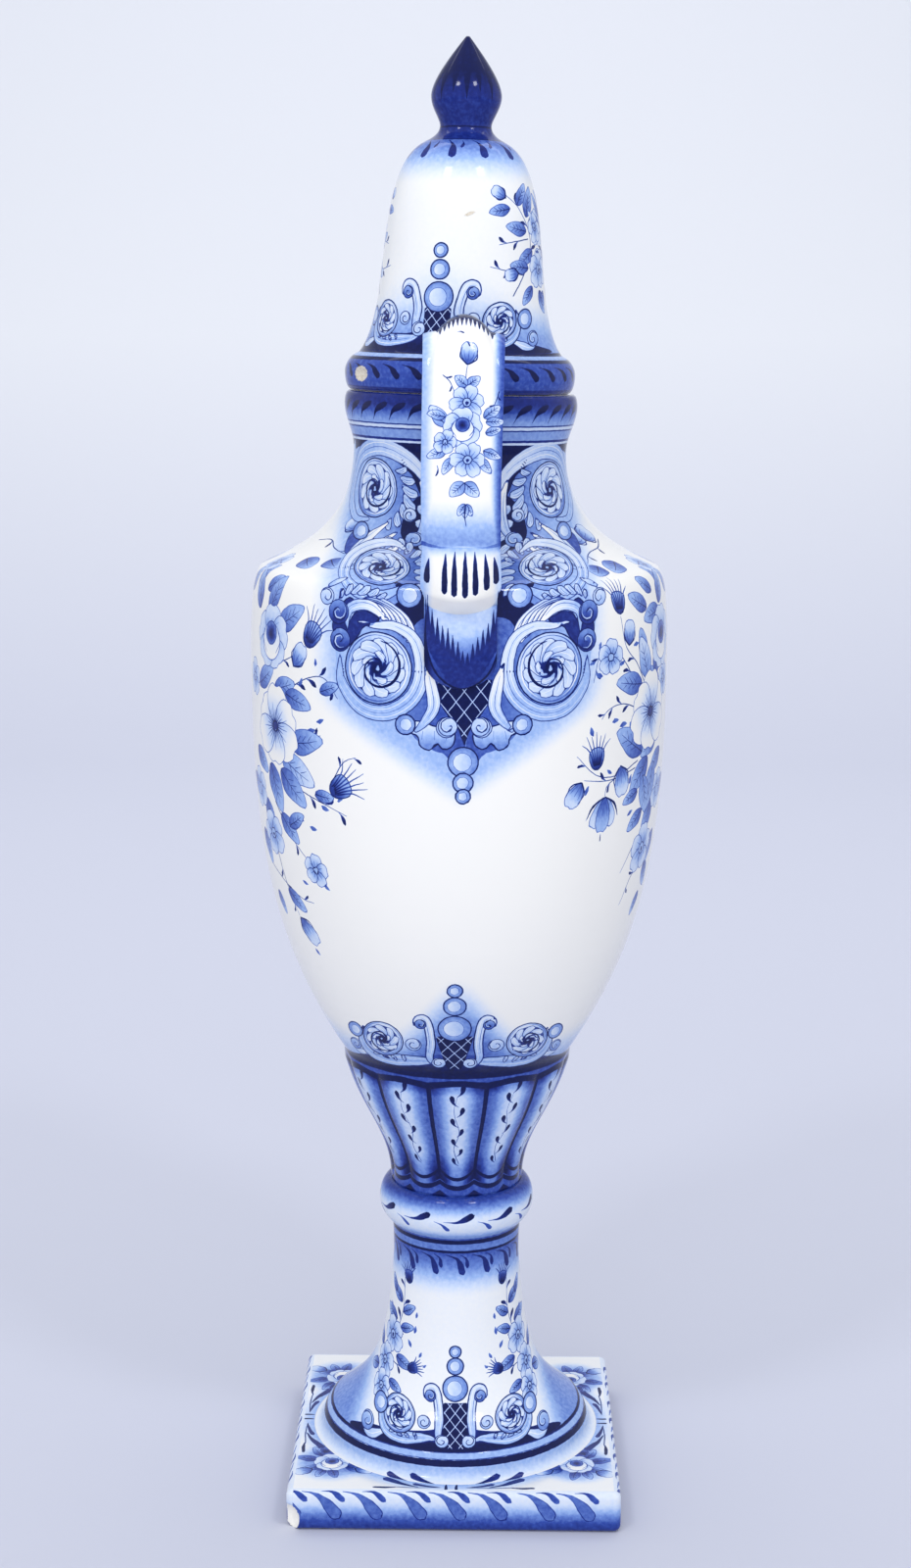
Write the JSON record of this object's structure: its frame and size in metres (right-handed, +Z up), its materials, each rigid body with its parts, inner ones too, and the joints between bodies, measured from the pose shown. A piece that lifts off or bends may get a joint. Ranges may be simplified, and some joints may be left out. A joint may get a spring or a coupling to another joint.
{
  "type": "covered amphora vase",
  "caption": "Tall covered ceramic amphora with two strap handles, gadrooned cup, bell foot and square plinth; the bell-shaped lid lifts off.",
  "frame": {"origin": "on the ground under the middle of the square plinth", "axes": "+Z up along the vase's axis, handles on -Y and +Y, -Y faces the viewer in the picture, +X to the viewer's right"},
  "size_m": [0.2424, 0.271, 0.85],
  "materials": {
    "body_glaze": "gloss tin glaze with hand-painted cobalt decoration",
    "lid_glaze": "gloss tin glaze with hand-painted cobalt decoration"
  },
  "bodies": {
    "root": {"amphora": "body_glaze", "lid": "lid_glaze"}
  },
  "joints": []
}
